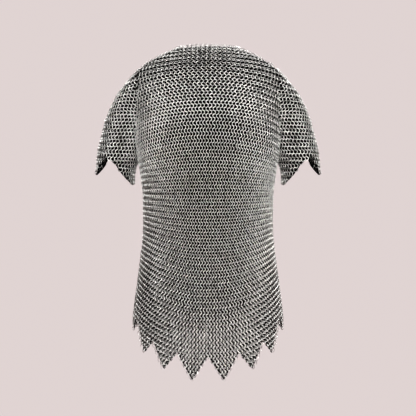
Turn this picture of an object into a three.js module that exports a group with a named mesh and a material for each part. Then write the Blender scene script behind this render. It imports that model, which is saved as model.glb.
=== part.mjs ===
// Short-sleeved mail shirt (hauberk), hollow, in the shape it hangs in when it is worn.
// Millimetres, +Z up, the front faces -Y, the wearer's left is +X.
// The origin lies between the two neck points, on the line of the shoulders.
//
// Each piece is one sheet of linked rings, drawn as a wall: a grid of points on its middle surface,
// moved out and in by half the wall. The rows of the grid follow the rows of rings.

import * as THREE from 'three';
import { mergeVertices } from 'three/addons/utils/BufferGeometryUtils.js';

// Driving sizes
const WALL = 3; // thickness of the linked rings, taken as one wall
const SEAM_GAP = 0.6; // free space between two pieces where they are linked
const ARMPIT_GAP = 2; // the same at the foot of the armhole, where the fold is sharpest
const ARMPIT_STEPS = 3; // grid rows over which that gap narrows to the other
const ARMPIT_WALL = 1.2; // thickness at the foot of the armhole
const ARMPIT_REACH = 40; // distance from there at which a wall has its full thickness
const BODY_COLUMNS = 136; // rings in one full round of the body

// Armhole, as an oval in rows (height) and millimetres (half of its depth, front to back)
const ARMHOLE_MIDDLE_ROW = 80;
const ARMHOLE_HALF_ROWS = 14;
const ARMHOLE_HALF_DEPTH = 48;
const ARMHOLE_STEPS = 14; // grid rows between the foot and the top of the armhole

// Sleeve
const SLEEVE_CAP_ROWS = 32; // rows of rings from the armpit to the top of the shoulder
const SLEEVE_HALF_DEPTH = 63.5;
const SLEEVE_TOP_SPAN = 65; // degrees from the outer line to the edge, at the top of the shoulder

// Neckline of the front: how many rows it dips below the neck points, and how fast it rises
const FRONT_NECK_DIP = 10;
const FRONT_NECK_POWER = 1.9;

const ROW_RISE_POWER = 2.5; // how late a row of rings leaves the level of its middle
const ROW_TURN = [62, 74]; // rows between which its way of rising changes to the one at the armhole

// One line for each level of the body. row counts rows of rings up from the notches of the hem.
// back, side and front are the levels (Z) of that row at the centre back, at the side (from row 66 to
// row 94 at the armhole, above it on the shoulder ridge) and at the centre front. half is X at the
// side. rear and fore are the distances of the centre lines from the plane Y = 0.
// middle and corner are the powers that round the outline at the centre line and at the side.
const BODY_COLUMNS_READ = ['row', 'back', 'side', 'front', 'half', 'rear', 'fore', 'middle', 'corner'];
const BODY_LEVELS = named(BODY_COLUMNS_READ, [
  [-9, -850, -767, -846, 197, 172, 166, 2.4, 2.4],
  [0, -789, -712, -786, 194.5, 167, 160, 2.4, 2.4],
  [13, -704, -632, -702, 184.5, 155, 149, 2.4, 2.4],
  [26, -606, -553, -606, 174, 133, 134, 2.35, 2.35],
  [38, -509, -480, -510, 167, 120, 127, 2.3, 2.3],
  [50, -408, -403, -410, 168, 127, 134, 2.3, 2.4],
  [58, -338, -351, -341, 173.5, 137, 144, 2.3, 2.5],
  [64, -285, -313, -289, 179.5, 141, 149, 2.25, 2.6],
  [66, -267, -299, -271, 182.5, 142, 150, 2.25, 2.6],
  [70, -231, -262.5, -236, 185.5, 142, 150, 2.2, 2.5],
  [74, -195, -227, -200, 186.5, 140, 149, 2.1, 2.35],
  [80, -144, -176, -147, 185.5, 136, 143, 2.05, 2.15],
  [87, -92, -114, -92, 183.5, 121, 127, 2, 1.8],
  [91, -64, -78, -63, 182, 105, 110, 2, 1.4],
  [94, -44, -54, -43, 176, 89, 96, 2, 1.05],
  [96, -33, -38, -33, 155, 79, 88, 2, 1.1],
  [98, -21.5, -25, -23.5, 130, 68, 79, 2, 1.15],
  [102, -4, -4, -6, 81, 50, 62, 2, 1.9],
]);

// One line for each level of a sleeve. row counts rows of rings up from the armpit, outerX and outerZ
// are its outer line.
const SLEEVE_OUTER_LINE = named(['row', 'outerX', 'outerZ'], [
  [-8, 300, -385],
  [-4, 297.5, -351],
  [-1.5, 295, -330],
  [0, 293.5, -317],
  [3.4, 291, -286],
  [8.4, 281, -242],
  [13.3, 270, -199],
  [17.9, 254, -160],
  [22.3, 236.5, -125],
  [26, 215.5, -98.5],
  [29.6, 194, -72.5],
  [32, 176, -54],
]);

// Inner line of a sleeve, below the armpit; above it the sleeve ends at the armhole
const SLEEVE_INNER_LINE = named(['row', 'innerX', 'innerZ'], [
  [-8, 197, -366],
  [-4, 195, -333.5],
  [-1.5, 189.5, -311.5],
  [0, 182.5, -299],
]);

// Lower edge of a sleeve: part is how far across it is from the outer line (0) to the inner one (1)
const CUFF_EDGE = [
  { part: 0, row: -2.5 },
  { part: 0.283, row: 2.7 },
  { part: 1, row: -8 },
];

// Notches and tips of the pointed hem, from the centre line to the side: column of rings, row
const HEM_CORNERS = named(['column', 'row'], [
  [0, 0],
  [4.5, -9],
  [9, 0],
  [13, -8],
  [17, 0],
  [20.5, -7],
  [26, 4],
  [30, -4],
  [34, 4],
]);

// Grid rows of the body below the armholes. HEM_ROWS are shares of the way from the hem's edge.
const HEM_ROWS = [0, 0.5];
const HEM_TOP_ROW = 8;
const BODY_ROWS = [13, 20, 26, 32, 38, 44, 50, 55, 60, 63, 64.5];
const SLEEVE_ROWS = [-8, -4, -1.5]; // grid rows of a sleeve below the armpit
const SHOULDER_ROWS = [96, 98, 100, 102];
const FRONT_NECK_BASE_ROW = 86; // grid rows above it bend down to the neckline of the front
const NECK_ROW = 102;
const STEPS_PER_HALF_DAG = 2; // grid columns between a notch and a tip of the hem
const SLEEVE_STEPS = 28; // grid columns round a sleeve
const CUFF_BLEND_STEPS = 4; // grid rows above the armpit that still bend with the edge of the cuff
const OUTLINE_SAMPLES = 48; // points that measure the length of one outline
const SHARPEST_MITRE = 0.5; // keeps the direction of a sharp fold from running far out

/** Table lines as records with named columns. */
function named(columns, lines) {
  return lines.map((line) => Object.fromEntries(columns.map((column, i) => [column, line[i]])));
}

/** Reads one column of a table at any row, along a smooth curve that never overshoots. */
function readTable(table, column, row) {
  const last = table.length - 1;
  let i = 0;
  while (i < last - 1 && row > table[i + 1].row) i += 1;
  const secant = (j) => {
    const rise = table[j + 1][column] - table[j][column];
    return rise / (table[j + 1].row - table[j].row);
  };
  const slope = (j) => {
    if (j === 0) return secant(0);
    if (j === last) return secant(last - 1);
    const before = secant(j - 1);
    const after = secant(j);
    return before * after <= 0 ? 0 : (2 * before * after) / (before + after);
  };
  const width = table[i + 1].row - table[i].row;
  const t = (row - table[i].row) / width;
  if (t <= 0) return table[i][column] + slope(i) * width * t;
  if (t >= 1) return table[i + 1][column] + slope(i + 1) * width * (t - 1);
  const t2 = t * t;
  const t3 = t2 * t;
  return (
    (2 * t3 - 3 * t2 + 1) * table[i][column] +
    (t3 - 2 * t2 + t) * width * slope(i) +
    (3 * t2 - 2 * t3) * table[i + 1][column] +
    (t3 - t2) * width * slope(i + 1)
  );
}

/** Half of the armhole's depth at a row of the body; zero below and above the armhole. */
function armholeDepth(row) {
  const height = (row - ARMHOLE_MIDDLE_ROW) / ARMHOLE_HALF_ROWS;
  return ARMHOLE_HALF_DEPTH * Math.sqrt(Math.max(0, 1 - height * height));
}

/**
 * One row of the body from the centre line to its side edge, as a function of the part of its length
 * (0 centre, 1 edge). direction is +1 for the back and -1 for the front.
 */
function bodyRow(row, direction) {
  const halfWidth = readTable(BODY_LEVELS, 'half', row);
  const depth = readTable(BODY_LEVELS, direction > 0 ? 'rear' : 'fore', row);
  const middle = readTable(BODY_LEVELS, 'middle', row);
  const corner = readTable(BODY_LEVELS, 'corner', row);
  const centreLevel = readTable(BODY_LEVELS, direction > 0 ? 'back' : 'front', row);
  const sideLevel = readTable(BODY_LEVELS, 'side', row);
  // The outline would close at fullWidth; the armhole cuts it off at halfWidth.
  const cut = 1 - Math.pow(armholeDepth(row) / depth, corner);
  const fullWidth = halfWidth / Math.pow(cut, 1 / middle);
  const outline = (t) => {
    const x = halfWidth * Math.sin((t * Math.PI) / 2);
    const inside = Math.max(0, 1 - Math.pow(x / fullWidth, middle));
    return [x, depth * Math.pow(inside, 1 / corner)];
  };
  const points = [];
  const lengths = [0];
  for (let i = 0; i <= OUTLINE_SAMPLES; i += 1) {
    points.push(outline(i / OUTLINE_SAMPLES));
    if (i === 0) continue;
    const step = Math.hypot(points[i][0] - points[i - 1][0], points[i][1] - points[i - 1][1]);
    lengths.push(lengths[i - 1] + step);
  }
  const total = lengths[OUTLINE_SAMPLES];
  // Below the armpit a row turns level at the side; above it, it falls on to the armhole.
  const open = THREE.MathUtils.smoothstep(row, ...ROW_TURN);
  return {
    length: total,
    at(part) {
      const wanted = Math.abs(part) * total;
      let i = 0;
      while (i < OUTLINE_SAMPLES - 1 && lengths[i + 1] < wanted) i += 1;
      const t = (wanted - lengths[i]) / (lengths[i + 1] - lengths[i]);
      const x = points[i][0] + (points[i + 1][0] - points[i][0]) * t;
      const y = points[i][1] + (points[i + 1][1] - points[i][1]) * t;
      const closed = Math.pow(Math.sin((Math.abs(part) * Math.PI) / 2), ROW_RISE_POWER);
      const rise = closed + (part * part - closed) * open;
      const z = centreLevel + (sideLevel - centreLevel) * rise;
      return new THREE.Vector3(Math.sign(part) * x, direction * y, z);
    },
  };
}

/** Notches and tips of the hem, with their columns as parts of the half. */
function hemCorners() {
  const half = BODY_COLUMNS / 4;
  return HEM_CORNERS.map(({ column, row }) => ({ part: column / half, row }));
}

/** Straight line through the corners of an edge: its row at a part of the way round. */
function edgeRow(corners, part) {
  const place = Math.abs(part);
  const i = Math.max(1, corners.findIndex((corner) => corner.part >= place - 1e-9));
  const before = corners[i - 1];
  const after = corners[i];
  return before.row + ((after.row - before.row) * (place - before.part)) / (after.part - before.part);
}

/** Parts of a half panel at which the grid has a column: each corner and the steps between. */
function panelParts() {
  const corners = hemCorners();
  const parts = [0];
  for (let i = 1; i < corners.length; i += 1) {
    for (let j = 1; j <= STEPS_PER_HALF_DAG; j += 1) {
      const t = j / STEPS_PER_HALF_DAG;
      parts.push(corners[i - 1].part + (corners[i].part - corners[i - 1].part) * t);
    }
  }
  return [...parts.slice(1).reverse().map((part) => -part), ...parts];
}

/** Body rows at the vertices of the armhole's edge, from its foot to its top. */
function armholeRows() {
  const rows = [];
  for (let i = 0; i <= ARMHOLE_STEPS; i += 1) {
    rows.push(ARMHOLE_MIDDLE_ROW - ARMHOLE_HALF_ROWS * Math.cos((i * Math.PI) / ARMHOLE_STEPS));
  }
  return rows;
}

/** Middle surface of the back (direction +1) or the front (-1): rows of points, hem to neck. */
function panelGrid(direction) {
  const corners = hemCorners();
  const parts = panelParts();
  const rowAt = (row, part) => {
    if (direction > 0 || row <= FRONT_NECK_BASE_ROW) return row;
    const rise = Math.pow(Math.sin((Math.abs(part) * Math.PI) / 2), FRONT_NECK_POWER);
    const top = NECK_ROW - FRONT_NECK_DIP * (1 - rise);
    const share = (row - FRONT_NECK_BASE_ROW) / (NECK_ROW - FRONT_NECK_BASE_ROW);
    return FRONT_NECK_BASE_ROW + (top - FRONT_NECK_BASE_ROW) * share;
  };
  const grid = HEM_ROWS.map((share) =>
    parts.map((part) => {
      const edge = edgeRow(corners, part);
      return bodyRow(edge + (HEM_TOP_ROW - edge) * share, direction).at(part);
    }),
  );
  for (const row of [HEM_TOP_ROW, ...BODY_ROWS, ...armholeRows(), ...SHOULDER_ROWS]) {
    grid.push(parts.map((part) => bodyRow(rowAt(row, part), direction).at(part)));
  }
  return grid;
}

/** Point of a sleeve's middle surface: row up from the armpit, part round from the outer line. */
function sleevePoint(row, part) {
  const outerX = readTable(SLEEVE_OUTER_LINE, 'outerX', row);
  const outerZ = readTable(SLEEVE_OUTER_LINE, 'outerZ', row);
  const step = (2 * ARMHOLE_HALF_ROWS) / SLEEVE_CAP_ROWS;
  const levelRow = ARMHOLE_MIDDLE_ROW - ARMHOLE_HALF_ROWS + step * Math.max(0, row);
  const edgeDepth = armholeDepth(levelRow);
  const edge = bodyRow(levelRow, 1).at(1);
  const innerX = row > 0 ? edge.x : readTable(SLEEVE_INNER_LINE, 'innerX', row);
  const innerZ = row > 0 ? edge.z : readTable(SLEEVE_INNER_LINE, 'innerZ', row);
  const steepest = Math.PI - Math.asin(ARMHOLE_HALF_DEPTH / SLEEVE_HALF_DEPTH);
  const middle = SLEEVE_CAP_ROWS / 2;
  let span = Math.PI;
  let halfDepth = SLEEVE_HALF_DEPTH;
  if (row > middle) {
    const top = THREE.MathUtils.degToRad(SLEEVE_TOP_SPAN);
    span = steepest + ((top - steepest) * (row - middle)) / middle;
    halfDepth = edgeDepth / Math.sin(span);
  } else if (row > 0) {
    span = Math.PI - Math.asin(edgeDepth / SLEEVE_HALF_DEPTH);
  }
  const angle = part * span;
  const across = (1 - Math.cos(angle)) / (1 - Math.cos(span));
  return new THREE.Vector3(
    outerX + (innerX - outerX) * across,
    halfDepth * Math.sin(angle),
    outerZ + (innerZ - outerZ) * across,
  );
}

/** Middle surface of the left sleeve: rows of points from the cuff to the top of the shoulder. */
function sleeveGrid() {
  const parts = [];
  for (let i = 0; i <= SLEEVE_STEPS; i += 1) parts.push(1 - (2 * i) / SLEEVE_STEPS);
  const foot = ARMHOLE_MIDDLE_ROW - ARMHOLE_HALF_ROWS;
  const capRows = armholeRows().map(
    (row) => ((row - foot) * SLEEVE_CAP_ROWS) / (2 * ARMHOLE_HALF_ROWS),
  );
  const cuffRow = SLEEVE_ROWS[0];
  const rows = [...SLEEVE_ROWS, ...capRows];
  const blendRow = capRows[CUFF_BLEND_STEPS];
  return rows.map((row) =>
    parts.map((part) => {
      if (row >= blendRow) return sleevePoint(row, part);
      const across = (1 - Math.cos(part * Math.PI)) / 2;
      const share = (blendRow - edgeRow(CUFF_EDGE, across)) / (blendRow - cuffRow);
      return sleevePoint(blendRow - (blendRow - row) * share, part);
    }),
  );
}

/** Unit normals of a grid, facing out of the garment. outward is +1 or -1 for the grid's handedness. */
function gridNormals(grid, outward) {
  const rows = grid.length - 1;
  const columns = grid[0].length - 1;
  return grid.map((line, j) =>
    line.map((_, i) => {
      const normal = new THREE.Vector3();
      for (const [dj, di] of [[0, 0], [0, -1], [-1, 0], [-1, -1]]) {
        const r = j + dj;
        const c = i + di;
        if (r < 0 || c < 0 || r >= rows || c >= columns) continue;
        const one = grid[r + 1][c + 1].clone().sub(grid[r][c]);
        const two = grid[r + 1][c].clone().sub(grid[r][c + 1]);
        normal.add(one.cross(two));
      }
      return normal.normalize().multiplyScalar(outward);
    }),
  );
}

/** Direction in which the shared edge of two sheets is moved out, so that both walls meet in it. */
function mitre(one, two) {
  const sum = one.clone().add(two);
  return sum.multiplyScalar(1 / Math.max(SHARPEST_MITRE, 1 + one.dot(two)));
}

/** Closed wall on a grid: the grid moved out and in along its directions, and a rim all round. */
function wallGeometry(grid, directions, outward) {
  const rows = grid.length;
  const columns = grid[0].length;
  const positions = [];
  for (const side of [1, -1]) {
    for (let j = 0; j < rows; j += 1) {
      for (let i = 0; i < columns; i += 1) {
        const point = grid[j][i].clone().addScaledVector(directions[j][i], (side * WALL) / 2);
        positions.push(point.x, point.y, point.z);
      }
    }
  }
  const indices = [];
  const sheet = rows * columns;
  const quad = (a, b, c, d) => indices.push(a, b, c, a, c, d);
  for (let j = 0; j < rows - 1; j += 1) {
    for (let i = 0; i < columns - 1; i += 1) {
      const a = j * columns + i;
      const corners = [a, a + 1, a + columns + 1, a + columns];
      // the halves are cut along opposite diagonals, so that a sheet is its own mirror image
      if (i >= (columns - 1) / 2) corners.push(corners.shift());
      const [one, two, three, four] = corners;
      quad(one, two, three, four);
      indices.push(sheet + one, sheet + three, sheet + two);
      indices.push(sheet + one, sheet + four, sheet + three);
    }
  }
  for (let i = 0; i < columns - 1; i += 1) {
    const top = (rows - 1) * columns + i;
    quad(i + 1, i, sheet + i, sheet + i + 1);
    quad(top, top + 1, sheet + top + 1, sheet + top);
  }
  for (let j = 0; j < rows - 1; j += 1) {
    const left = j * columns;
    const right = left + columns - 1;
    quad(left + columns, sheet + left + columns, sheet + left, left);
    quad(right + columns, right, sheet + right, sheet + right + columns);
  }
  if (outward < 0) {
    for (let i = 0; i < indices.length; i += 3) {
      [indices[i + 1], indices[i + 2]] = [indices[i + 2], indices[i + 1]];
    }
  }
  const loose = new THREE.BufferGeometry();
  loose.setAttribute('position', new THREE.Float32BufferAttribute(positions, 3));
  loose.setIndex(indices);
  const geometry = mergeVertices(loose, 1e-3);
  geometry.setIndex(withoutCollapsed(geometry.index.array));
  geometry.computeVertexNormals();
  return geometry;
}

/** Drops the triangles that a row drawn together into one point leaves without any area. */
function withoutCollapsed(indices) {
  const kept = [];
  for (let i = 0; i < indices.length; i += 3) {
    const [a, b, c] = [indices[i], indices[i + 1], indices[i + 2]];
    if (a !== b && b !== c && c !== a) kept.push(a, b, c);
  }
  return kept;
}

/**
 * Moves one side edge of a grid into its sheet, square to the edge, by half of the seam's gap.
 * foot is the grid row at the foot of the armhole, where the gap is wider.
 */
function pullBack(grid, normals, column, toward, foot) {
  const last = grid.length - 1;
  const shifts = grid.map((line, j) => {
    const along = grid[Math.min(last, j + 1)][column].clone().sub(grid[Math.max(0, j - 1)][column]);
    const inward = normals[j][column].clone().cross(along).normalize();
    const inside = line[column + toward].clone().sub(line[column]);
    if (j > 0) inside.add(grid[j - 1][column + toward]).sub(line[column]);
    const near = Math.max(0, 1 - Math.abs(j - foot) / ARMPIT_STEPS);
    const gap = SEAM_GAP + (ARMPIT_GAP - SEAM_GAP) * near;
    return inward.multiplyScalar((Math.sign(inward.dot(inside)) * gap) / 2);
  });
  shifts.forEach((shift, j) => grid[j][column].add(shift));
}

/** Thins a wall towards the foot of the armhole on either side. */
function thinAtArmpit(grid, directions, foot) {
  grid.forEach((line, j) =>
    line.forEach((point, i) => {
      const near = new THREE.Vector3(Math.abs(point.x), point.y, point.z);
      const far = THREE.MathUtils.smoothstep(near.distanceTo(foot), 0, ARMPIT_REACH);
      directions[j][i].multiplyScalar(THREE.MathUtils.lerp(ARMPIT_WALL / WALL, 1, far));
    }),
  );
}

/** Mirrors a grid to the wearer's right. */
function mirrored(grid) {
  return grid.map((line) => line.map((point) => new THREE.Vector3(-point.x, point.y, point.z)));
}

/** Mirrors directions to the wearer's right. */
const flipped = (direction) => new THREE.Vector3(-direction.x, direction.y, direction.z);

const back = panelGrid(1);
const front = panelGrid(-1);
const sleeve = sleeveGrid();
const backOut = gridNormals(back, 1);
const frontOut = gridNormals(front, -1);
const sleeveOut = gridNormals(sleeve, 1);

const lastColumn = back[0].length - 1;
const lastRow = back.length - 1;
const bodyFoot = HEM_ROWS.length + 1 + BODY_ROWS.length; // grid row at the foot of the armhole
const bodyTop = bodyFoot + ARMHOLE_STEPS;
const sleeveFoot = SLEEVE_ROWS.length;
const sleeveTop = sleeveFoot + ARMHOLE_STEPS;

// Free space at the side seams, the shoulder ridges, the armholes and under the arm
pullBack(back, backOut, 0, 1, bodyFoot);
pullBack(back, backOut, lastColumn, -1, bodyFoot);
pullBack(front, frontOut, 0, 1, bodyFoot);
pullBack(front, frontOut, lastColumn, -1, bodyFoot);
pullBack(sleeve, sleeveOut, 0, 1, sleeveFoot);
pullBack(sleeve, sleeveOut, SLEEVE_STEPS, -1, sleeveFoot);
const topDrop = sleeve[sleeveTop - 1][SLEEVE_STEPS / 2].clone().sub(sleeve[sleeveTop][0]);
topDrop.normalize().multiplyScalar(SEAM_GAP);
const topPoint = sleeve[sleeveTop][SLEEVE_STEPS / 2].clone().add(topDrop);
sleeve[sleeveTop] = sleeve[sleeveTop].map(() => topPoint.clone());

// Shared directions at the side seams and along the shoulder ridges
for (const column of [0, lastColumn]) {
  for (let j = 0; j <= lastRow; j += 1) {
    if (j > bodyFoot && j < bodyTop) continue;
    const shared = mitre(backOut[j][column], frontOut[j][column]);
    backOut[j][column] = shared;
    frontOut[j][column] = shared.clone();
  }
}

// Shared directions along the seam under the arm
for (let s = 0; s <= sleeveFoot; s += 1) {
  const shared = mitre(sleeveOut[s][0], sleeveOut[s][SLEEVE_STEPS]);
  sleeveOut[s][0] = shared;
  sleeveOut[s][SLEEVE_STEPS] = shared.clone();
}

// Shared directions round the armhole. A sleeve's first column is its back edge.
for (let step = 0; step < ARMHOLE_STEPS; step += 1) {
  const j = bodyFoot + step;
  const s = sleeveFoot + step;
  const atBack = mitre(backOut[j][lastColumn], sleeveOut[s][0]);
  const atFront = mitre(frontOut[j][lastColumn], sleeveOut[s][SLEEVE_STEPS]);
  backOut[j][lastColumn] = atBack;
  frontOut[j][lastColumn] = atFront;
  backOut[j][0] = flipped(atBack);
  frontOut[j][0] = flipped(atFront);
  sleeveOut[s][0] = atBack.clone();
  sleeveOut[s][SLEEVE_STEPS] = atFront.clone();
}
const ridgeOut = backOut[bodyTop][lastColumn];
sleeveOut[sleeveTop] = sleeveOut[sleeveTop].map(() => ridgeOut.clone());

const foot = bodyRow(ARMHOLE_MIDDLE_ROW - ARMHOLE_HALF_ROWS, 1).at(1);
thinAtArmpit(back, backOut, foot);
thinAtArmpit(front, frontOut, foot);
thinAtArmpit(sleeve, sleeveOut, foot);

/** Plain steel of the round wire. */
const steel = () => new THREE.MeshStandardMaterial({ color: 0xa9a7a4, metalness: 0.9, roughness: 0.38 });

/** One named piece of the shirt. */
function piece(name, grid, directions, outward) {
  const mesh = new THREE.Mesh(wallGeometry(grid, directions, outward), steel());
  mesh.name = name;
  return mesh;
}

const group = new THREE.Group();
group.add(piece('back', back, backOut, 1));
group.add(piece('front', front, frontOut, -1));
group.add(piece('sleeve_left', sleeve, sleeveOut, 1));
group.add(piece('sleeve_right', mirrored(sleeve), mirrored(sleeveOut), -1));

export default group;
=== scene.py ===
"""A short-sleeved mail shirt, hollow as worn, dressed with its linked rings.

Metres, +Z up. The front faces -Y and the wearer's left is +X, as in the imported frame.
The sheets of mail follow the middle surface of the frame's walls: each row of rings is one
line of that surface, and every ring leans on its neighbours as in four-in-one mail.
"""

import logging
import math
from collections.abc import Callable
from dataclasses import dataclass, field, replace
from enum import Enum

import bmesh
import bpy
import numpy as np
from mathutils import Matrix, Vector


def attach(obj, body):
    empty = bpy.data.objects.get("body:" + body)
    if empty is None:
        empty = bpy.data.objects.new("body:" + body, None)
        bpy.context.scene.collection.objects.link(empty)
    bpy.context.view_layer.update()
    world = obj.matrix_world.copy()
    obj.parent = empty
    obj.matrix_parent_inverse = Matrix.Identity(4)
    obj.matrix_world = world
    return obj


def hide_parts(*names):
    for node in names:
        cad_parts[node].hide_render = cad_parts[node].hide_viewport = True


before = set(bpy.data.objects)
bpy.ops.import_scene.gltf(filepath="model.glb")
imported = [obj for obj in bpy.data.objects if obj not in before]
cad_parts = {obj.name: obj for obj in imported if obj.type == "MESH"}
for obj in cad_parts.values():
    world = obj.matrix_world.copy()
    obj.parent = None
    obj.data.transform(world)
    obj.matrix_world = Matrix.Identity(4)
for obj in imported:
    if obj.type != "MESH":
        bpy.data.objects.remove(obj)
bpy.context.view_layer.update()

log = logging.getLogger("mail_shirt")

MM = 0.001  # the tables below are in millimetres

@dataclass(frozen=True)
class Table:
    """Levels of a shape, read at any row along a smooth curve that never overshoots."""

    columns: tuple[str, ...]
    lines: tuple[tuple[float, ...], ...]

    def read(self, column: str, row: np.ndarray) -> np.ndarray:
        """Reads one column.

        Args:
            column: name of the column.
            row: rows to read it at.

        Returns:
            The values at those rows.
        """
        rows = np.array([line[0] for line in self.lines], float)
        values = np.array([line[self.columns.index(column)] for line in self.lines], float)
        width = np.diff(rows)
        secant = np.diff(values) / width
        slope = np.zeros(len(rows))
        slope[0], slope[-1] = secant[0], secant[-1]
        before, after = secant[:-1], secant[1:]
        same = before * after > 0
        total = np.where(same, before + after, 1)
        slope[1:-1] = np.where(same, 2 * before * after / total, 0)
        row = np.asarray(row, float)
        i = np.clip(np.searchsorted(rows, row, side="left") - 1, 0, len(rows) - 2)
        t = (row - rows[i]) / width[i]
        inside = np.clip(t, 0, 1)
        t2, t3 = inside**2, inside**3
        curve = (
            (2 * t3 - 3 * t2 + 1) * values[i]
            + (t3 - 2 * t2 + inside) * width[i] * slope[i]
            + (3 * t2 - 2 * t3) * values[i + 1]
            + (t3 - t2) * width[i] * slope[i + 1]
        )
        beyond = (t - inside) * width[i] * np.where(t > 1, slope[i + 1], slope[i])
        return curve + beyond


# One line for each level of the body. row counts rows of rings up from the notches of the hem.
# back, side and front are the levels (Z) of that row at the centre back, the side and the centre
# front, half is X at the side, rear and fore are the depths of the centre lines, and middle and
# corner are the powers that round the outline.
BODY_LEVELS = Table(
    ("row", "back", "side", "front", "half", "rear", "fore", "middle", "corner"),
    (
        (-9, -850, -767, -846, 197, 172, 166, 2.4, 2.4),
        (0, -789, -712, -786, 194.5, 167, 160, 2.4, 2.4),
        (13, -704, -632, -702, 184.5, 155, 149, 2.4, 2.4),
        (26, -606, -553, -606, 174, 133, 134, 2.35, 2.35),
        (38, -509, -480, -510, 167, 120, 127, 2.3, 2.3),
        (50, -408, -403, -410, 168, 127, 134, 2.3, 2.4),
        (58, -338, -351, -341, 173.5, 137, 144, 2.3, 2.5),
        (64, -285, -313, -289, 179.5, 141, 149, 2.25, 2.6),
        (66, -267, -299, -271, 182.5, 142, 150, 2.25, 2.6),
        (70, -231, -262.5, -236, 185.5, 142, 150, 2.2, 2.5),
        (74, -195, -227, -200, 186.5, 140, 149, 2.1, 2.35),
        (80, -144, -176, -147, 185.5, 136, 143, 2.05, 2.15),
        (87, -92, -114, -92, 183.5, 121, 127, 2, 1.8),
        (91, -64, -78, -63, 182, 105, 110, 2, 1.4),
        (94, -44, -54, -43, 176, 89, 96, 2, 1.05),
        (96, -33, -38, -33, 155, 79, 88, 2, 1.1),
        (98, -21.5, -25, -23.5, 130, 68, 79, 2, 1.15),
        (102, -4, -4, -6, 81, 50, 62, 2, 1.9),
    ),
)

# Outer line of a sleeve. row counts rows of rings up from the armpit.
SLEEVE_OUTER_LINE = Table(
    ("row", "x", "z"),
    (
        (-8, 300, -385),
        (-4, 297.5, -351),
        (-1.5, 295, -330),
        (0, 293.5, -317),
        (3.4, 291, -286),
        (8.4, 281, -242),
        (13.3, 270, -199),
        (17.9, 254, -160),
        (22.3, 236.5, -125),
        (26, 215.5, -98.5),
        (29.6, 194, -72.5),
        (32, 176, -54),
    ),
)

# Inner line of a sleeve, below the armpit
SLEEVE_INNER_LINE = Table(
    ("row", "x", "z"),
    ((-8, 197, -366), (-4, 195, -333.5), (-1.5, 189.5, -311.5), (0, 182.5, -299)),
)

# Notches and tips of the pointed hem, from the centre line to the side: column of rings, row
HEM_CORNERS = (
    (0, 0),
    (4.5, -9),
    (9, 0),
    (13, -8),
    (17, 0),
    (20.5, -7),
    (26, 4),
    (30, -4),
    (34, 4),
)

# Distance between neighbouring rings of one row of the chest, where the weave is drawn wide
CHEST_PITCH = Table(
    ("row", "pitch"),
    ((66, 7.3), (71, 8.0), (77, 9.2), (83, 10.7), (90, 12), (102, 12.4)),
)

# Angle at which rings lean on their neighbours, by their distance along the row
RING_LEAN = Table(
    ("pitch", "degrees"),
    ((6.5, 45), (7.1, 42), (7.8, 39), (8.3, 34), (8.9, 27), (10.7, 26), (12.4, 23)),
)

# Heights in the mail, from its middle surface, below which the wire is all painted shade and
# above which it shows its full steel colour, in millimetres, by the angle at which the rings lean
PAINTED_SHADE_HEIGHT = Table(
    ("degrees", "dark", "bright"),
    ((23, -3.4, 0.2), (27, -2.2, 1), (34, -1.5, 1.9), (45, -0.9, 2.3)),
)

# How much closer the rings of a row stand at the centre line than at the sides
CLOSER_AT_CENTRE = Table(
    ("row", "share"),
    ((-9, 0), (26, 0), (38, -0.036), (46, 0.03), (54, 0.07), (66, 0.07)),
)

# Armholes: rows and millimetres
ARMPIT_ROW = 66
ARMHOLE_MIDDLE_ROW = 80
ARMHOLE_HALF_ROWS = 14
ARMHOLE_HALF_DEPTH = 48

# Sleeves: the cap has this many levels between the armpit and the top of the shoulder, where the
# sleeve spans this angle to either side of its outer line
SLEEVE_CAP_ROWS = 32
SLEEVE_HALF_DEPTH = 63.5
SLEEVE_TOP_SPAN = math.radians(65)
CUFF_EDGE = ((0.0, -2.5), (0.283, 2.7), (1.0, -8.0))  # part across the sleeve, level

# Neck edge: the front dips by this many rows at the centre line
NECK_ROW = 102
FRONT_NECK_DIP = 10
FRONT_NECK_POWER = 1.9

# Rows climb from the centre line to the side late, and between these two rows turn to even
ROW_RISE_POWER = 2.5
ROW_TURN = (62, 74)

# Rings between the centre line and the side of the body, below the armholes
QUARTER_COLUMNS = 34

# Rows of the body whose rings one piece holds
RING_BANDS = {
    "skirt": range(-9, 31),
    "waist": range(31, ARMPIT_ROW + 1),
    "chest": range(ARMPIT_ROW + 1, NECK_ROW + 1),
}

SEAM_GAP = 0.6  # free space between two sheets where they are linked
SHELL_WALL = 0.3  # thickness of a sheet's shell
SHELL_SHARE = 0.998  # part of each row that a sheet's shell covers
PART_STEP = 0.008  # steps to either side at which the directions of a surface are taken
ROW_STEP = 0.2


class Side(Enum):
    """The two halves of the body, and the way each one faces along Y."""

    BACK = 1
    FRONT = -1


class Hand(Enum):
    """The wearer's two arms, and the way each one lies along X."""

    LEFT = 1
    RIGHT = -1


def smoothstep(value: np.ndarray, low: float, high: float) -> np.ndarray:
    """Rises softly from 0 at low to 1 at high."""
    t = np.clip((value - low) / (high - low), 0, 1)
    return t * t * (3 - 2 * t)


def armhole_depth(row: np.ndarray) -> np.ndarray:
    """Half of the armhole's depth, in millimetres, at rows of the body."""
    height = (row - ARMHOLE_MIDDLE_ROW) / ARMHOLE_HALF_ROWS
    return ARMHOLE_HALF_DEPTH * np.sqrt(np.clip(1 - height**2, 0, None))


def row_shift(row: int) -> float:
    """Half a ring on every second row, so that it hangs between the rings of the next one."""
    return 0.5 if row % 2 else 0.0


def row_lean(row: int) -> int:
    """Sign of the lean of a row's rings, which changes from row to row."""
    return 1 if row % 2 else -1


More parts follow.
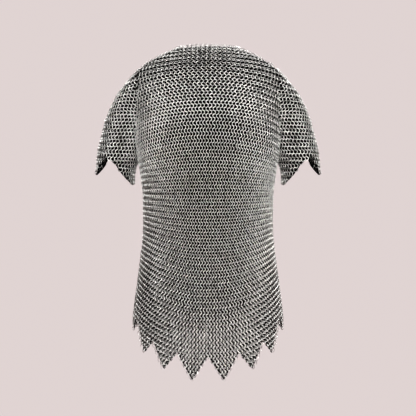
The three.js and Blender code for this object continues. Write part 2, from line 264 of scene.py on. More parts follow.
@dataclass
class BodySurface:
    """Middle surface of the back or the front of the mail.

    A place on it is a row, up from the hem's notches, and a part of that row, from -1 at the
    wearer's right edge over 0 at the centre line to 1 at the left edge.
    """

    side: Side
    samples: int = 161

    @property
    def turn(self) -> float:
        """Sign that makes a normal face out of the shirt."""
        return -self.side.value

    def outline(self, row: np.ndarray) -> tuple[np.ndarray, np.ndarray, np.ndarray]:
        """Half of each row, from the centre line to its edge.

        Args:
            row: the rows.

        Returns:
            X, depth and distance along the row at each sample, in millimetres.
        """
        half, middle, corner = (
            BODY_LEVELS.read(name, row)[:, None] for name in ("half", "middle", "corner")
        )
        depth = BODY_LEVELS.read("rear" if self.side is Side.BACK else "fore", row)[:, None]
        cut = 1 - (armhole_depth(row)[:, None] / depth) ** corner
        full = half / cut ** (1 / middle)
        x = half * np.sin(np.linspace(0, math.pi / 2, self.samples))
        y = depth * np.clip(1 - (x / full) ** middle, 0, None) ** (1 / corner)
        step = np.hypot(np.diff(x), np.diff(y))
        length = np.cumsum(np.pad(step, ((0, 0), (1, 0))), axis=1)
        return x, y, length

    def half_length(self, row: np.ndarray | float) -> np.ndarray:
        """Length of each row from the centre line to its edge, in millimetres."""
        return self.outline(np.atleast_1d(np.asarray(row, float)))[2][:, -1]

    def place(self, row: np.ndarray, part: np.ndarray) -> np.ndarray:
        """Points of the surface.

        Args:
            row: the row of each point.
            part: the part of its row.

        Returns:
            The points, in millimetres.
        """
        x, y, length = self.outline(row)
        wanted = np.abs(part) * length[:, -1]
        first = np.clip((length < wanted[:, None]).sum(1) - 1, 0, self.samples - 2)[:, None]
        before, after = (np.take_along_axis(length, first + k, 1) for k in (0, 1))
        t = (wanted[:, None] - before) / (after - before)
        low, high = (
            np.stack([np.take_along_axis(line, first + k, 1)[:, 0] for line in (x, y)])
            for k in (0, 1)
        )
        px, py = low + t[:, 0] * (high - low)
        closed = np.sin(np.abs(part) * math.pi / 2) ** ROW_RISE_POWER
        rise = closed + (part**2 - closed) * smoothstep(row, *ROW_TURN)
        centre = BODY_LEVELS.read("back" if self.side is Side.BACK else "front", row)
        z = centre + (BODY_LEVELS.read("side", row) - centre) * rise
        return np.stack([np.sign(part) * px, self.side.value * py, z], -1)

    def neck_row(self, part: np.ndarray) -> np.ndarray:
        """Finds where the mail ends at the neck.

        Args:
            part: parts of a row.

        Returns:
            The row of the neck edge at each part.
        """
        if self.side is Side.BACK:
            return np.full(np.shape(part), float(NECK_ROW))
        rise = np.sin(np.clip(np.abs(part), 0, 1) * math.pi / 2) ** FRONT_NECK_POWER
        return NECK_ROW - FRONT_NECK_DIP * (1 - rise)


@dataclass
class SleeveSurface:
    """Middle surface of the left sleeve; the right one is its mirror image.

    A place on it is a level, up from the armpit, and a part of the way round, from 0 on the
    outer line to 1 at the back edge and -1 at the front edge.
    """

    turn: float = 1.0

    def place(self, level: np.ndarray, part: np.ndarray) -> np.ndarray:
        """Points of the surface.

        Args:
            level: the level of each point.
            part: the part of the way round.

        Returns:
            The points, in millimetres.
        """
        middle = SLEEVE_CAP_ROWS / 2
        body_row = ARMPIT_ROW + 2 * ARMHOLE_HALF_ROWS / SLEEVE_CAP_ROWS * np.clip(level, 0, None)
        depth = armhole_depth(body_row)
        steepest = math.pi - math.asin(ARMHOLE_HALF_DEPTH / SLEEVE_HALF_DEPTH)
        low = np.where(level > 0, math.pi - np.arcsin(depth / SLEEVE_HALF_DEPTH), math.pi)
        high = steepest + (SLEEVE_TOP_SPAN - steepest) * (level - middle) / middle
        span = np.where(level > middle, high, low)
        half_depth = np.where(level > middle, depth / np.sin(high), SLEEVE_HALF_DEPTH)
        angle = np.abs(part) * span
        across = (1 - np.cos(angle)) / (1 - np.cos(span))
        points = []
        for axis, body_column in (("x", "half"), ("z", "side")):
            outer = SLEEVE_OUTER_LINE.read(axis, level)
            armhole = BODY_LEVELS.read(body_column, body_row)
            inner = np.where(level > 0, armhole, SLEEVE_INNER_LINE.read(axis, level))
            points.append(outer + (inner - outer) * across)
        return np.stack([points[0], np.sign(part) * half_depth * np.sin(angle), points[1]], -1)


@dataclass(frozen=True)
class SleeveRows:
    """How the rows of rings run on a sleeve: close to its levels, but evenly far apart."""

    step: float = 1.1
    spread: float = 0.17
    level_row: float = 14.0

    def level(self, row: np.ndarray | float, part: np.ndarray) -> np.ndarray:
        """Level of the sleeve at which a row of rings passes a part of the way round."""
        return row * self.step + (across(part) - 0.5) * self.spread * (row - self.level_row)

    def row(self, level: np.ndarray, part: np.ndarray) -> np.ndarray:
        """Row of rings that passes a place of the sleeve."""
        tilt = (across(part) - 0.5) * self.spread
        return (level + tilt * self.level_row) / (self.step + tilt)


def across(part: np.ndarray) -> np.ndarray:
    """How far across a sleeve a part of the way round lies: 0 outer line, 1 inner line."""
    return (1 - np.cos(np.asarray(part) * math.pi)) / 2


def linear(hex_colour: str) -> tuple[float, float, float, float]:
    """Turns an sRGB colour into linear light.

    Args:
        hex_colour: the colour as six hex digits, such as "b9b6b1".

    Returns:
        Red, green, blue and alpha from 0 to 1.
    """
    parts = [int(hex_colour[i : i + 2], 16) / 255 for i in (0, 2, 4)]
    bright = [c / 12.92 if c <= 0.04045 else ((c + 0.055) / 1.055) ** 2.4 for c in parts]
    return (*bright, 1.0)


# Sockets of a Mix node that mixes colours
MIX_FACTOR, MIX_A, MIX_B, MIX_RESULT = 0, 6, 7, 2


def add_node(
    tree: bpy.types.NodeTree,
    kind: str,
    settings: dict | None = None,
    values: dict | None = None,
    links: dict | None = None,
) -> bpy.types.Node:
    """Adds one node to a tree.

    Args:
        tree: the node tree.
        kind: the node's type name.
        settings: attributes of the node itself.
        values: values of its input sockets, by name or number.
        links: output sockets that feed its inputs, by name or number.

    Returns:
        The new node.
    """
    node = tree.nodes.new(kind)
    for name, value in (settings or {}).items():
        setattr(node, name, value)
    for name, value in (values or {}).items():
        node.inputs[name].default_value = value
    for name, source in (links or {}).items():
        tree.links.new(source, node.inputs[name])
    return node


def empty_material(name: str) -> bpy.types.Material:
    """Makes a material whose node tree is still empty.

    Args:
        name: its name.

    Returns:
        The material.
    """
    material = bpy.data.materials.new(name)
    material.use_nodes = True
    material.node_tree.nodes.clear()
    return material


@dataclass(frozen=True)
class SteelWire:
    """Zinc-plated mild steel wire, drawn round and cut to butted rings.

    To the eye it is bright grey metal with a soft polish. Rings differ a little in tone, drawing
    marks roughen the wire, and the wire deep in the mail is darkened toward near black: painted
    shade where the rings shadow each other.
    """

    name: str = "zinc_plated_steel_wire"
    bright: str = "eae9e6"
    dull: str = "c6c5c2"
    # painted shade: the near-black colour of the wire deep in the mail
    painted_shade: str = "161515"
    roughness: float = 0.34
    roughness_spread: float = 0.1
    mark_size: float = 0.7  # millimetres, coarser than real drawing marks so that they show
    mark_depth: float = 0.03
    tone_layer: str = "ring_tone"
    # layer of painted shade: how far each point of wire shows its steel colour
    shade_mix_layer: str = "painted_shade_mix"

    def material(self) -> bpy.types.Material:
        """Makes the material.

        Returns:
            The material, which reads the rings' layer of tone and their layer of painted shade.
        """
        material = empty_material(self.name)
        tree = material.node_tree
        tone = add_node(tree, "ShaderNodeAttribute", {"attribute_name": self.tone_layer})
        colour = add_node(
            tree,
            "ShaderNodeMix",
            {"data_type": "RGBA"},
            {MIX_A: linear(self.dull), MIX_B: linear(self.bright)},
            {MIX_FACTOR: tone.outputs["Fac"]},
        )
        # Painted shade: wire deep in the mail is mixed toward near black, as where the rings shadow
        # each other
        bright = add_node(tree, "ShaderNodeAttribute", {"attribute_name": self.shade_mix_layer})
        shade_mix = add_node(
            tree,
            "ShaderNodeMix",
            {"data_type": "RGBA"},
            {MIX_A: linear(self.painted_shade)},
            {MIX_FACTOR: bright.outputs["Fac"], MIX_B: colour.outputs[MIX_RESULT]},
        )
        place = add_node(tree, "ShaderNodeTexCoord")
        marks = add_node(
            tree,
            "ShaderNodeTexNoise",
            values={"Scale": 1 / (self.mark_size * MM)},
            links={"Vector": place.outputs["Object"]},
        )
        polish = add_node(
            tree,
            "ShaderNodeMapRange",
            values={
                "To Min": self.roughness - self.roughness_spread,
                "To Max": self.roughness + self.roughness_spread,
            },
            links={"Value": marks.outputs["Fac"]},
        )
        relief = add_node(
            tree,
            "ShaderNodeBump",
            values={"Distance": self.mark_depth * MM},
            links={"Height": marks.outputs["Fac"]},
        )
        shader = add_node(
            tree,
            "ShaderNodeBsdfPrincipled",
            values={"Metallic": 1.0},
            links={
                "Base Color": shade_mix.outputs[MIX_RESULT],
                "Roughness": polish.outputs["Result"],
                "Normal": relief.outputs["Normal"],
            },
        )
        add_node(tree, "ShaderNodeOutputMaterial", links={"Surface": shader.outputs["BSDF"]})
        return material


@dataclass(frozen=True)
class MailShade:
    """Painted shade between the two sides of the mail: a dark sheet that stands for the deep wires
    in shadow.

    To the eye it is almost black and without gloss, with lighter patches a ring or two wide.
    """

    name: str = "shaded_steel"
    colour: str = "0a0909"
    # painted shade: the lighter tone of the patches in this sheet of painted shade
    painted_shade: str = "141211"
    patch_size: float = 1.5  # in rings
    roughness: float = 0.9
    gloss: float = 0.1
    rings_layer: str = "rows_of_rings"

    def material(self) -> bpy.types.Material:
        """Makes the material.

        Returns:
            The material, which reads the columns and rows of rings as a UV map.
        """
        material = empty_material(self.name)
        tree = material.node_tree
        place = add_node(tree, "ShaderNodeUVMap", {"uv_map": self.rings_layer})
        patches = add_node(
            tree,
            "ShaderNodeTexNoise",
            values={"Scale": 1 / self.patch_size},
            links={"Vector": place.outputs["UV"]},
        )
        colour = add_node(
            tree,
            "ShaderNodeMix",
            {"data_type": "RGBA"},
            {MIX_A: linear(self.colour), MIX_B: linear(self.painted_shade)},
            {MIX_FACTOR: patches.outputs["Fac"]},
        )
        shader = add_node(
            tree,
            "ShaderNodeBsdfPrincipled",
            values={"Roughness": self.roughness, "Specular IOR Level": self.gloss},
            links={"Base Color": colour.outputs[MIX_RESULT]},
        )
        add_node(tree, "ShaderNodeOutputMaterial", links={"Surface": shader.outputs["BSDF"]})
        return material


@dataclass(frozen=True)
class Ring:
    """One butted ring of round wire, as a few-sided tube, in millimetres."""

    radius: float = 6.0
    wire: float = 0.76
    weld: float = 0.01
    steps: int = 8
    sides: int = 4

    def template(self) -> tuple[np.ndarray, np.ndarray]:
        """Spins one section of the wire into a ring round Z.

        Returns:
            The ring's points in millimetres, and its faces of four points each.
        """
        shape = bmesh.new()
        section = bmesh.ops.create_circle(shape, segments=self.sides, radius=self.wire)["verts"]
        stand = Matrix.Translation((self.radius, 0, 0)) @ Matrix.Rotation(math.pi / 2, 4, "X")
        bmesh.ops.transform(shape, matrix=stand, verts=section)
        bmesh.ops.spin(
            shape,
            geom=shape.verts[:] + shape.edges[:],
            axis=(0, 0, 1),
            cent=(0, 0, 0),
            angle=math.tau,
            steps=self.steps,
            use_merge=True,
        )
        bmesh.ops.remove_doubles(shape, verts=shape.verts[:], dist=self.weld)
        bmesh.ops.recalc_face_normals(shape, faces=shape.faces[:])
        shape.verts.index_update()
        points = np.array([vert.co[:] for vert in shape.verts])
        faces = np.array([[vert.index for vert in face.verts] for face in shape.faces])
        shape.free()
        return points, faces


@dataclass
class RingField:
    """Places of many rings: centres, and the directions along, up and out at each."""

    centre: list[np.ndarray] = field(default_factory=list)
    along: list[np.ndarray] = field(default_factory=list)
    out: list[np.ndarray] = field(default_factory=list)
    lean: list[np.ndarray] = field(default_factory=list)

    def add(self, centre: np.ndarray, along: np.ndarray, out: np.ndarray, lean: np.ndarray) -> None:
        """Adds the rings of one row.

        Args:
            centre: their centres, in millimetres.
            along: directions along the row.
            out: directions out of the garment.
            lean: angles at which they lean.
        """
        self.centre.append(centre)
        self.along.append(along)
        self.out.append(out)
        self.lean.append(lean)


@dataclass
class Weave:
    """How the rings hang in each other: their lean and their small unevenness."""

    ring: Ring = field(default_factory=Ring)
    loose_turn: float = math.radians(3.5)
    loose_shift: float = 0.25  # millimetres
    shell_rise: float = 0.6  # how far the shell stands out from the centre of the inner wires
    seed: int = 7

    def lean(self, pitch: np.ndarray) -> np.ndarray:
        """Angles at which rings lean, from the distance of each one to the next of its row."""
        return np.radians(RING_LEAN.read("degrees", pitch))

    def depth(self, pitch: np.ndarray) -> np.ndarray:
        """How far behind the middle surface the shell lies, between the wires of both sides."""
        return self.ring.radius * np.sin(self.lean(pitch)) - self.shell_rise

    def hang(
        self, points: np.ndarray, places: RingField, draw: np.random.Generator
    ) -> tuple[np.ndarray, np.ndarray]:
        """Hangs one ring in each place.

        Args:
            points: points of one ring round Z.
            places: where the rings are.
            draw: gives the rings their unevenness.

        Returns:
            The points of each ring in millimetres, and how far each point shows its steel colour
            rather than the painted shade, which is fully where the wire comes out at the inside of
            the shirt.
        """
        along, out = np.concatenate(places.along), np.concatenate(places.out)
        lean = np.concatenate(places.lean)
        inside = self.ring.radius * np.abs(np.sin(lean)) - self.shell_rise + SHELL_WALL
        slant = np.degrees(np.abs(lean))
        dark, bright = (PAINTED_SHADE_HEIGHT.read(name, slant)[:, None] for name in ("dark", "bright"))
        lean = lean + draw.normal(0, self.loose_turn, len(lean))
        nod = draw.normal(0, self.loose_turn, len(lean))
        centre = np.concatenate(places.centre)
        centre = centre + draw.normal(0, self.loose_shift, centre.shape)
        up = np.cross(out, along)
        across = along * np.cos(lean)[:, None] - out * np.sin(lean)[:, None]
        face = along * np.sin(lean)[:, None] + out * np.cos(lean)[:, None]
        high = up * np.cos(nod)[:, None] + face * np.sin(nod)[:, None]
        face = face * np.cos(nod)[:, None] - up * np.sin(nod)[:, None]
        turned = np.einsum("nij,vj->nvi", np.stack([across, high, face], 2), points)
        height = np.einsum("nvi,ni->nv", turned, out)
        # Painted shade: wire below the middle surface darkens toward near black, but wire that
        # pokes out at the inside keeps its steel colour
        shade_mix = np.where(height < -inside[:, None], 1, smoothstep(height, dark, bright))
        return turned + centre[:, None, :], shade_mix

    def mesh(self, name: str, places: RingField, mirrored: bool = False) -> bpy.types.Object:
        """Joins one ring for each place into one mesh.

        Args:
            name: name of the piece.
            places: where the rings are.
            mirrored: whether the sheet is turned to its mirror image.

        Returns:
            The new object.
        """
        points, faces = self.ring.template()
        draw = np.random.default_rng(self.seed)
        placed, shade_mix = self.hang(points, places, draw)
        if mirrored:
            placed[..., 0] *= -1
            faces = faces[:, ::-1]
        count = len(placed)
        corners = faces[None] + (np.arange(count) * len(points))[:, None, None]
        mesh = bpy.data.meshes.new(name)
        mesh.vertices.add(count * len(points))
        mesh.vertices.foreach_set("co", (placed * MM).ravel())
        mesh.loops.add(corners.size)
        mesh.loops.foreach_set("vertex_index", corners.ravel())
        mesh.polygons.add(count * len(faces))
        mesh.polygons.foreach_set("loop_start", np.arange(0, corners.size, faces.shape[1]))
        mesh.polygons.foreach_set("use_smooth", np.ones(count * len(faces), bool))
        mesh.update(calc_edges=True)
        tone = mesh.attributes.new(SteelWire.tone_layer, "FLOAT", "FACE")
        tone.data.foreach_set("value", np.repeat(draw.random(count), len(faces)))
        # Layer of painted shade: how far each point of wire shows its steel colour instead of near
        # black
        layer = mesh.attributes.new(SteelWire.shade_mix_layer, "FLOAT", "POINT")
        layer.data.foreach_set("value", shade_mix.ravel())
        piece = bpy.data.objects.new(name, mesh)
        bpy.context.scene.collection.objects.link(piece)
        return piece


def directions(
    surface: BodySurface | SleeveSurface, row: np.ndarray, part: np.ndarray
) -> tuple[np.ndarray, np.ndarray]:
    """Unit directions along a row and out of the garment, at places of a surface.

    Args:
        surface: the surface of the sheet.
        row: the row, or level, of each place.
        part: its part of the row.

    Returns:
        The directions along the row and outwards.
    """
    along = surface.place(row, np.minimum(part + PART_STEP, 1))
    along -= surface.place(row, np.maximum(part - PART_STEP, -1))
    up = surface.place(row + ROW_STEP, part) - surface.place(row - ROW_STEP, part)
    along /= np.linalg.norm(along, axis=1)[:, None]
    out = np.cross(along, up) * surface.turn
    out /= np.linalg.norm(out, axis=1)[:, None]
    return along, out


@dataclass
class Sheet:
    """Grid of a sheet's middle surface, hem or cuff first.

    It holds the points in millimetres, the directions out of the garment, the columns and rows of
    rings there, how deep the shell lies, and the sign of Y on which the whole sheet stays, or 0.
    """

    points: np.ndarray
    out: np.ndarray
    lattice: np.ndarray
    depth: np.ndarray
    half_space: int = 0

    @classmethod
    def on(
        cls,
        surface: BodySurface | SleeveSurface,
        rows: np.ndarray,
        parts: np.ndarray,
        lattice: Callable[[np.ndarray, np.ndarray], tuple[np.ndarray, np.ndarray, np.ndarray]],
        half_space: int = 0,
    ) -> "Sheet":
        """Takes the grid from a surface.

        Args:
            surface: the surface.
            rows: the row of each point, one line of them for each level.
            parts: the parts of the rows at which the grid has columns.
            lattice: turns rows and parts into columns and rows of rings and the shell's depth.
            half_space: sign of Y on which the whole sheet stays, or 0.

        Returns:
            The sheet.
        """
        level = rows.ravel()
        part = np.tile(parts * SHELL_SHARE, len(rows))
        shape = (*rows.shape, -1)
        points = surface.place(level, part).reshape(shape)
        out = directions(surface, level, part)[1].reshape(shape)
        *places, depth = lattice(level, part)
        places = np.stack(places, -1).reshape(shape)
        return cls(points, out, places, depth.reshape(rows.shape), half_space)

    def mirrored(self) -> "Sheet":
        """The same sheet for the wearer's other side."""
        flip = np.array([-1.0, 1.0, 1.0])
        return replace(self, points=self.points * flip, out=self.out * flip)

    def flat(self) -> tuple[float, float]:
        """Measures the sheet laid out flat.

        Returns:
            The greatest width, square to the columns of rings, and the greatest length along
            them, in metres.
        """
        up = np.gradient(self.points, axis=0)[:, 1:]
        up /= np.maximum(np.linalg.norm(up, axis=2, keepdims=True), np.finfo(float).eps)
        across = np.diff(self.points, axis=1)
        across -= np.einsum("ijk,ijk->ij", across, up)[..., None] * up
        width = np.linalg.norm(across, axis=2).sum(1).max()
        length = np.linalg.norm(np.diff(self.points, axis=0), axis=2).sum(0).max()
        return float(width) * MM, float(length) * MM

    def area(self) -> float:
        """Measures the area of the sheet.

        Returns:
            The area in square metres.
        """
        one = self.points[1:, 1:] - self.points[:-1, :-1]
        two = self.points[1:, :-1] - self.points[:-1, 1:]
        return float(np.linalg.norm(np.cross(one, two), axis=2).sum() / 2 * MM * MM)


@dataclass(frozen=True)
class Shell:
    """The shade inside a sheet of mail: one thin dark layer that the rings stand in."""

    sheet: Sheet

    def build(self, name: str, shade: bpy.types.Material) -> bpy.types.Object:
        """Builds the shell.

        Args:
            name: name of the piece.
            shade: its material.

        Returns:
            The new object.
        """
        rows, columns = self.sheet.points.shape[:2]
        shape = bmesh.new()
        bmesh.ops.create_grid(shape, x_segments=columns - 1, y_segments=rows - 1, size=1)
        layer = shape.loops.layers.uv.new(MailShade.rings_layer)
        spots = {}
        for vert in shape.verts:
            i = round((vert.co.x + 1) / 2 * (columns - 1))
            j = round((vert.co.y + 1) / 2 * (rows - 1))
            spots[vert] = (j, i)
        for vert, spot in spots.items():
            vert.co = self.point(spot)
        for face in shape.faces:
            face.smooth = True
            for loop in face.loops:
                loop[layer].uv = self.sheet.lattice[spots[loop.vert]]
        shape.faces.ensure_lookup_table()
        middle = shape.faces[len(shape.faces) // 2]
        middle.normal_update()
        if middle.normal.dot(Vector(self.sheet.out[rows // 2, columns // 2])) < 0:
            bmesh.ops.reverse_faces(shape, faces=shape.faces[:])
        mesh = bpy.data.meshes.new(name)
        shape.to_mesh(mesh)
        shape.free()
        mesh.materials.append(shade)
        piece = bpy.data.objects.new(name, mesh)
        bpy.context.scene.collection.objects.link(piece)
        wall = piece.modifiers.new("wall", "SOLIDIFY")
        wall.thickness = SHELL_WALL * MM
        wall.offset = -1
        return piece

    def point(self, spot: tuple[int, int]) -> Vector:
        """Point of the shell's outer face.

        Args:
            spot: row and column of the sheet's grid.

        Returns:
            The point in metres, on the sheet's own side of the seams.
        """
        sheet = self.sheet
        point = sheet.points[spot] - sheet.out[spot] * sheet.depth[spot]
        if sheet.half_space:
            point[1] = sheet.half_space * max(SEAM_GAP / 2, point[1] * sheet.half_space)
        return Vector(point) * MM


@dataclass
class BodyMail:
    """The back or the front: a sheet of mail from the dagged hem to the neck."""

    side: Side
    weave: Weave
    edge_margin: float = 1.5
    neck_margin: float = 0.4
    hem_reach: float = 0.8
    neck_inset: float = 0.3
    dag_steps: int = 3
    armhole_steps: int = 14
    hem_top_row: float = 8.0
    hem_shares: tuple[float, ...] = (0, 0.5, 1)  # the shell's levels up to that row
    body_rows: tuple[float, ...] = (11, 14, 18, 22, 26, 30, 34, 38, 42, 46, 50, 54, 58, 61, 64)
    shoulder_rows: tuple[float, ...] = (96, 98, 100, 102)

    def __post_init__(self) -> None:
        """Takes the surface that the sheet follows."""
        self.surface = BodySurface(self.side)

    @property
    def name(self) -> str:
        """Name of the frame's node that this sheet stands for."""
        return self.side.name.lower()

    def row_columns(self, row: int) -> np.ndarray:
        """Finds the columns of a row below the armholes.

        Args:
            row: the row.

        Returns:
            Its columns that the hem leaves, whole or half numbers from one side to the other.
        """
        last = QUARTER_COLUMNS if self.side is Side.BACK else QUARTER_COLUMNS - 1
        columns = np.arange(-last, last + 1).astype(float)
        if row % 2:
            columns = np.arange(-QUARTER_COLUMNS, QUARTER_COLUMNS) + row_shift(row)
        return columns[np.interp(np.abs(columns), *zip(*HEM_CORNERS)) <= row]

    def row_parts(self, row: int) -> np.ndarray:
        """Finds where the rings of a row hang.

        Args:
            row: the row.

        Returns:
            The part of the row at each of its rings.
        """
        if row <= ARMPIT_ROW:
            even = self.row_columns(row) / QUARTER_COLUMNS
            return even * (1 + float(CLOSER_AT_CENTRE.read("share", row)) * (even**2 - 1))
        total = self.surface.half_length(row)[0]
        pitch = float(CHEST_PITCH.read("pitch", row))
        last = round((total - self.edge_margin) / pitch)
        along = (np.arange(-last, last + 1) + row_shift(row)) * pitch
        return along[np.abs(along) <= total - self.edge_margin] / total

    def pitch_at(self, row: np.ndarray, part: np.ndarray) -> np.ndarray:
        """Measures how far apart neighbouring rings of a row are.

        Args:
            row: the row of each place.
            part: the part of its row.

        Returns:
            The distance at each place, in millimetres.
        """
        even = self.surface.half_length(row) / QUARTER_COLUMNS
        below = even * (1 + CLOSER_AT_CENTRE.read("share", row) * (3 * part**2 - 1))
        return np.where(row > ARMPIT_ROW, CHEST_PITCH.read("pitch", row), below)

    def places(self, rows: range) -> RingField:
        """Finds the places of the rings of a band.

        Args:
            rows: the rows of the band.

        Returns:
            The places.
        """
        found = RingField()
        for row in rows:
            part = self.row_parts(row)
            part = part[row + self.neck_margin <= self.surface.neck_row(part) + 1]
            if not len(part):
                continue
            level = np.full(len(part), float(row))
            along, out = directions(self.surface, level, part)
            lean = self.weave.lean(self.pitch_at(level, part)) * row_lean(row)
            found.add(self.surface.place(level, part), along, out, lean)
        return found

    def sheet(self) -> Sheet:
        """Lays the grid of the sheet.

        Returns:
            The sheet, as far as the rims of its outermost rings.
        """
        place = [column / QUARTER_COLUMNS for column, _ in HEM_CORNERS]
        edge = [row - self.hem_reach for _, row in HEM_CORNERS]
        right = np.concatenate(
            [np.linspace(a, b, self.dag_steps, endpoint=False) for a, b in zip(place, place[1:])]
        )
        right = np.append(right, 1.0)
        parts = np.concatenate([-right[:0:-1], right])
        low = np.interp(np.abs(parts), place, edge)
        turn = np.cos(np.linspace(0, math.pi, self.armhole_steps + 1))
        armhole = ARMHOLE_MIDDLE_ROW - ARMHOLE_HALF_ROWS * turn
        levels = [low + (self.hem_top_row - low) * share for share in self.hem_shares]
        for row in (*self.body_rows, *armhole, *self.shoulder_rows):
            levels.append(np.full(len(parts), float(row)))
        rows = np.minimum(levels, self.surface.neck_row(parts) - self.neck_inset)
        return Sheet.on(self.surface, rows, parts, self.lattice, self.side.value)

    def lattice(
        self, row: np.ndarray, part: np.ndarray
    ) -> tuple[np.ndarray, np.ndarray, np.ndarray]:
        """Finds the rings at places of the sheet.

        Args:
            row: the row of each place.
            part: the part of its row.

        Returns:
            The column and the row of the rings there, and the depth of the shell.
        """
        pitch = self.pitch_at(row, part)
        return part * self.surface.half_length(row) / pitch, row, self.weave.depth(pitch)


@dataclass
class SleeveMail:
    """One sleeve, from its angled cuff to the top of the shoulder."""

    hand: Hand
    weave: Weave
    rows: SleeveRows = field(default_factory=SleeveRows)
    pitch: float = 8.9
    edge_margin: float = 1.5
    cuff_margin: float = 0.1
    cuff_reach: float = 0.1
    top_inset: float = 0.6
    bend_row: float = 8.0
    cuff_shares: tuple[float, ...] = (0, 0.25, 0.5, 0.75)  # the shell's levels below that row
    shell_columns: int = 40
    shell_rows: int = 12
    samples: int = 181

    def __post_init__(self) -> None:
        """Takes the surface that the sheet follows."""
        self.surface = SleeveSurface()

    @property
    def name(self) -> str:
        """Name of the frame's node that this sheet stands for."""
        return f"sleeve_{self.hand.name.lower()}"

    def cuff_level(self, part: np.ndarray) -> np.ndarray:
        """Level of the sleeve's lower edge."""
        edge_across, edge_level = zip(*CUFF_EDGE)
        return np.interp(across(part), edge_across, edge_level)

    def places(self) -> RingField:
        """Finds the places of all the rings.

        Returns:
            The places on the left sleeve, of which the right one is the mirror image.
        """
        found = RingField()
        start = np.linspace(0, 1, self.samples)
        top = SLEEVE_CAP_ROWS - self.top_inset
        first = math.ceil(self.rows.row(np.array([CUFF_EDGE[-1][1]]), np.array([1.0]))[0])
        for row in range(first, SLEEVE_CAP_ROWS):
            levels = self.rows.level(row, start)
            inside = levels <= top
            if not inside[0]:
                break
            line = self.surface.place(levels[inside], start[inside])
            length = np.append(0, np.cumsum(np.linalg.norm(np.diff(line, axis=0), axis=1)))
            pitch = self.pitch
            if levels[-1] <= 0:
                around = round(length[-1] / pitch)
                pitch = length[-1] / around
                columns = np.arange(-around, around) + row_shift(row)
            else:
                last = int(length[-1] / pitch) + 1
                columns = np.arange(-last, last + 1) + row_shift(row)
                columns = columns[np.abs(columns) * pitch <= length[-1] - self.edge_margin]
            part = np.interp(np.abs(columns) * pitch, length, start[inside]) * np.sign(columns)
            level = self.rows.level(row, part)
            kept = level >= self.cuff_level(part) + self.cuff_margin
            if not kept.any():
                continue
            along, out = directions(self.surface, level[kept], part[kept])
            centre = self.surface.place(level[kept], part[kept])
            lean = self.weave.lean(np.full(len(centre), pitch)) * row_lean(row)
            found.add(centre, along, out, lean)
        return found

    def sheet(self) -> Sheet:
        """Lays the grid of the sheet.

        Returns:
            The sheet of the wearer's arm, as far as its outermost rings.
        """
        parts = np.linspace(-1, 1, self.shell_columns + 1)
        low = self.cuff_level(parts) - self.cuff_reach
        levels = [low + (self.bend_row - low) * share for share in self.cuff_shares]
        top = SLEEVE_CAP_ROWS - self.top_inset
        for row in np.linspace(self.bend_row, top, self.shell_rows + 1):
            levels.append(np.full(len(parts), row))
        sheet = Sheet.on(self.surface, np.array(levels), parts, self.lattice)
        return sheet if self.hand is Hand.LEFT else sheet.mirrored()

    def lattice(
        self, level: np.ndarray, part: np.ndarray
    ) -> tuple[np.ndarray, np.ndarray, np.ndarray]:
        """Finds the rings at places of the sheet.

        Args:
            level: the level of each place.
            part: the part of the way round.

        Returns:
            The column and the row of the rings there, and the depth of the shell.
        """
        around = part * math.pi * SLEEVE_HALF_DEPTH / self.pitch
        depth = self.weave.depth(np.full(len(level), self.pitch))
        return around, self.rows.row(level, part), depth


@dataclass(frozen=True)
class Lamp:
    """A square soft lamp: where it hangs and its side in metres, and its power in watts."""

    name: str
    place: tuple[float, float, float]
    side: float
    power: float

    def build(self, target: Vector) -> None:
        """Adds the lamp.

        Args:
            target: the point that it shines on.
        """
        light = bpy.data.lights.new(self.name, "AREA")
        light.size = self.side
        light.energy = self.power
        lamp = bpy.data.objects.new(self.name, light)
        lamp.location = self.place
        lamp.rotation_euler = (Vector(self.place) - target).to_track_quat("Z", "Y").to_euler()
        bpy.context.scene.collection.objects.link(lamp)


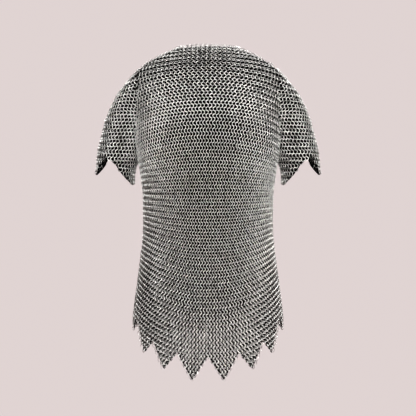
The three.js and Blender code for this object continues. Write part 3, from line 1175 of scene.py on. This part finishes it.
@dataclass(frozen=True)
class Studio:
    """Plain pale room with soft light, and the camera behind the shirt at waist height."""

    backdrop: str = "ddd3d2"
    room_strength: float = 0.1
    backdrop_strength: float = 0.755
    lamps: tuple[Lamp, ...] = (
        Lamp("key", (0, 2.3, 0.45), 2.4, 134),
        Lamp("top", (0, 1.1, 1.3), 0.9, 5),
        Lamp("front", (-0.5, -2.2, 0.9), 1.5, 60),
    )
    floor_colour: str = "c9bfbe"
    floor_roughness: float = 0.8
    floor_level: float = -1.45
    floor_radius: float = 2.0
    floor_sides: int = 64
    camera_distance: float = 2.7
    camera_level: float = -0.427
    lens: float = 88.2
    sensor: float = 36.0

    def build(self) -> None:
        """Builds the floor, the light and the camera."""
        self.build_floor()
        self.build_light()
        self.build_camera()

    def build_floor(self) -> None:
        """Adds a round pale floor, where the wearer would stand."""
        shape = bmesh.new()
        bmesh.ops.create_circle(
            shape, cap_ends=True, segments=self.floor_sides, radius=self.floor_radius
        )
        bmesh.ops.translate(shape, verts=shape.verts[:], vec=(0, 0, self.floor_level))
        mesh = bpy.data.meshes.new("floor")
        shape.to_mesh(mesh)
        shape.free()
        floor = bpy.data.objects.new("floor", mesh)
        bpy.context.scene.collection.objects.link(floor)
        material = bpy.data.materials.new("painted_floor")
        material.use_nodes = True
        shader = material.node_tree.nodes["Principled BSDF"]
        shader.inputs["Base Color"].default_value = linear(self.floor_colour)
        shader.inputs["Roughness"].default_value = self.floor_roughness
        mesh.materials.append(material)

    def build_light(self) -> None:
        """Adds the lamps and the even light of the room, whose backdrop looks brighter."""
        world = bpy.data.worlds.new("pale_room")
        world.use_nodes = True
        tree = world.node_tree
        shade = tree.nodes["Background"]
        shade.inputs["Color"].default_value = linear(self.backdrop)
        ray = add_node(tree, "ShaderNodeLightPath")
        strength = add_node(
            tree,
            "ShaderNodeMapRange",
            values={"To Min": self.room_strength, "To Max": self.backdrop_strength},
            links={"Value": ray.outputs["Is Camera Ray"]},
        )
        tree.links.new(strength.outputs["Result"], shade.inputs["Strength"])
        bpy.context.scene.world = world
        for lamp in self.lamps:
            lamp.build(Vector((0, 0, self.camera_level)))

    def build_camera(self) -> None:
        """Adds the camera, level and square to the back, and the photo's strong contrast."""
        data = bpy.data.cameras.new("camera")
        data.lens = self.lens
        data.sensor_width = self.sensor
        camera = bpy.data.objects.new("camera", data)
        camera.location = (0, self.camera_distance, self.camera_level)
        camera.rotation_euler = (math.pi / 2, 0, math.pi)
        bpy.context.scene.collection.objects.link(camera)
        bpy.context.scene.camera = camera
        bpy.context.scene.view_settings.view_transform = "Standard"
        bpy.context.scene.view_settings.look = "High Contrast"


def dress(
    name: str,
    sheet: Sheet,
    rings: list[bpy.types.Object],
    steel: bpy.types.Material,
    shade: bpy.types.Material,
) -> None:
    """Finishes one sheet of mail and puts it in the place of its node.

    Args:
        name: name of the frame's node.
        sheet: grid of the sheet.
        rings: the pieces that hold its rings.
        steel: material of the rings.
        shade: material of the shell.
    """
    shell = Shell(sheet).build(f"{name}_shade", shade)
    for piece in rings:
        piece.data.materials.append(steel)
    for piece in (shell, *rings):
        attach(piece, "root")
        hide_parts(name)
        log.info("%s: %d faces", piece.name, len(piece.data.polygons))
    flat, area = sheet.flat(), sheet.area()
    log.info("%s: %.3f by %.3f m flat, %.4f m2", name, *flat, area)


def main() -> None:
    """Builds the room and the shirt, and reports each piece."""
    logging.basicConfig(level=logging.INFO, format="%(message)s")
    Studio().build()
    steel = SteelWire().material()
    shade = MailShade().material()
    for side in Side:
        mail = BodyMail(side, Weave())
        rings = []
        for band, rows in RING_BANDS.items():
            rings.append(mail.weave.mesh(f"{mail.name}_{band}_rings", mail.places(rows)))
        dress(mail.name, mail.sheet(), rings, steel, shade)
    for hand in Hand:
        mail = SleeveMail(hand, Weave())
        mirrored = hand is Hand.RIGHT
        rings = [mail.weave.mesh(f"{mail.name}_rings", mail.places(), mirrored)]
        dress(mail.name, mail.sheet(), rings, steel, shade)


if __name__ == "__main__":
    main()
